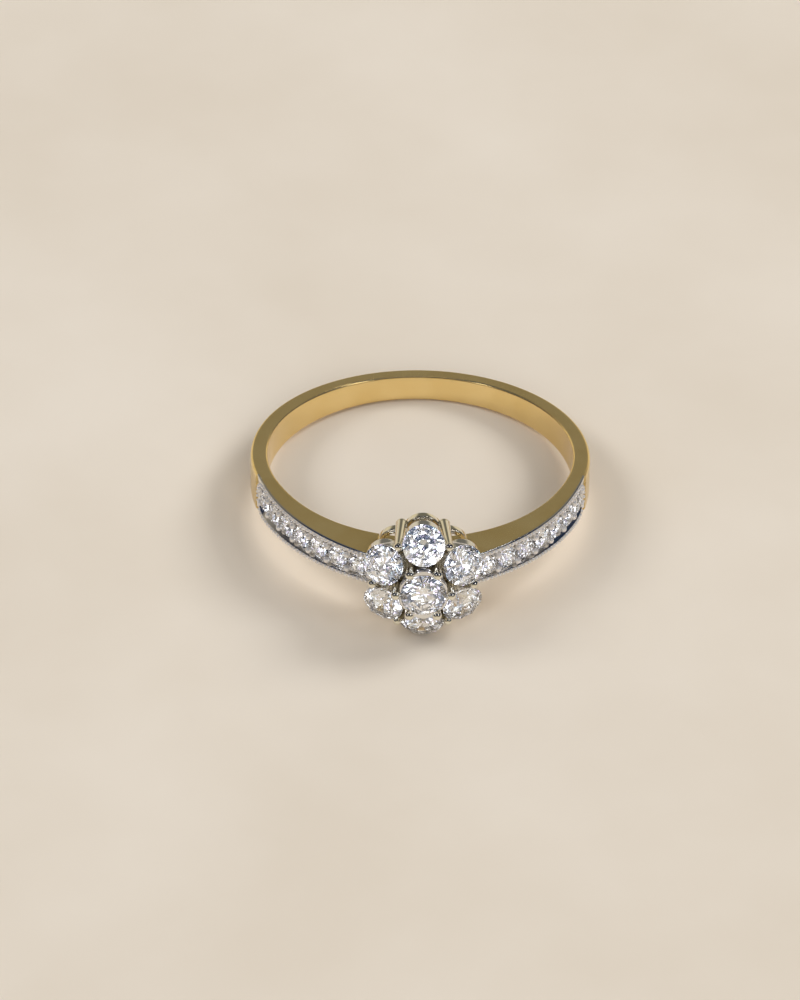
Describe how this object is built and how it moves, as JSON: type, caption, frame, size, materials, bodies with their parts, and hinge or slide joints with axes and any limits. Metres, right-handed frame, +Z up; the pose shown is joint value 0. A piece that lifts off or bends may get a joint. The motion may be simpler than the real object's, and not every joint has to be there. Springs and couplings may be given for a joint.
{
  "type": "cluster ring",
  "caption": "Finger ring lying on its side: a domed flower cluster of round stones on a pierced lobed gallery, rising shoulders each set with a row of small stones, and a plain back.",
  "frame": {"origin": "centre of the finger hole, half way along its wall", "axes": "+Z up from the surface that the ring lies on; the head points to -Y; the finger hole's axis leans from +Z towards +Y by the small angle at which the ring rests"},
  "size_m": [0.0188, 0.0226, 0.007],
  "materials": {
    "yellow_gold": "polished",
    "white_gold": "polished",
    "clear_stone": "polished facets"
  },
  "bodies": {
    "root": {"band_and_setting": "yellow_gold", "centre_stone": "clear_stone", "petal_stone_1": "clear_stone", "petal_stone_2": "clear_stone", "petal_stone_3": "clear_stone", "petal_stone_4": "clear_stone", "petal_stone_5": "clear_stone", "petal_stone_6": "clear_stone", "left_stone_1": "clear_stone", "left_stone_2": "clear_stone", "left_stone_3": "clear_stone", "left_stone_4": "clear_stone", "left_stone_5": "clear_stone", "left_stone_6": "clear_stone", "left_stone_7": "clear_stone", "right_stone_1": "clear_stone", "right_stone_2": "clear_stone", "right_stone_3": "clear_stone", "right_stone_4": "clear_stone", "right_stone_5": "clear_stone", "right_stone_6": "clear_stone", "right_stone_7": "clear_stone"}
  },
  "joints": []
}
